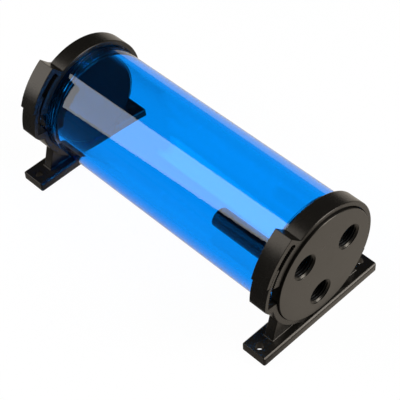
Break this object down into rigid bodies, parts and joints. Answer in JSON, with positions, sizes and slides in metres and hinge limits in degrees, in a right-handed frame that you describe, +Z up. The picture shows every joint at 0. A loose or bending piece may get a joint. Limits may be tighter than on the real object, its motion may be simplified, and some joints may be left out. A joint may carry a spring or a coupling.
{
  "type": "water cooling reservoir",
  "caption": "Clear tube reservoir for a liquid cooling loop, with threaded end caps, a dip pipe, ports in one cap and ratchet clamp feet.",
  "frame": {"origin": "on the resting plane, halfway between the two clamps and halfway along their feet", "axes": "+X along the tube towards the cap with the ports, +Y across the feet away from the latches, +Z up"},
  "size_m": [0.1712, 0.078, 0.0707],
  "materials": {
    "blue_acrylic": "polished clear blue acrylic",
    "black_acetal": "fine turned, satin",
    "black_nylon": "moulded, fine texture",
    "black_rubber": "smooth rubber"
  },
  "bodies": {
    "reservoir": {"tube": "blue_acrylic", "front_clamp_foot": "black_nylon", "rear_clamp_foot": "black_nylon"},
    "front_seal_carrier": {"front_seal": "black_rubber"},
    "front_cap": {"front_cap": "black_acetal", "dip_pipe": "black_acetal"},
    "rear_seal_carrier": {"rear_seal": "black_rubber"},
    "rear_cap": {"rear_cap": "black_acetal"},
    "front_strap": {"front_clamp_strap": "black_nylon"},
    "rear_strap": {"rear_clamp_strap": "black_nylon"}
  },
  "joints": [
    {"name": "front_cap_travel", "type": "slide", "parent": "reservoir", "child": "front_seal_carrier", "axis": [1, 0, 0], "range_m": [0, 0.0105]},
    {"name": "front_cap_turn", "type": "hinge", "parent": "front_seal_carrier", "child": "front_cap", "pos_m": [0.08425, 0.0021, 0.0354], "axis": [1, 0, 0], "range_deg": [0, 2520]},
    {"name": "rear_cap_travel", "type": "slide", "parent": "reservoir", "child": "rear_seal_carrier", "axis": [-1, 0, 0], "range_m": [0, 0.0105]},
    {"name": "rear_cap_turn", "type": "hinge", "parent": "rear_seal_carrier", "child": "rear_cap", "pos_m": [-0.08425, 0.0021, 0.0354], "axis": [-1, 0, 0], "range_deg": [0, 2520]},
    {"name": "front_strap_open", "type": "hinge", "parent": "reservoir", "child": "front_strap", "pos_m": [0.07835, 0.03083, 0.022], "axis": [-1, 0, 0], "range_deg": [0, 30]},
    {"name": "rear_strap_open", "type": "hinge", "parent": "reservoir", "child": "rear_strap", "pos_m": [-0.07835, 0.03083, 0.022], "axis": [-1, 0, 0], "range_deg": [0, 30]}
  ],
  "couplings": [
    {"joint": "front_cap_travel", "follows": "front_cap_turn", "m_per_rad": 0.00023873},
    {"joint": "rear_cap_travel", "follows": "rear_cap_turn", "m_per_rad": 0.00023873}
  ]
}
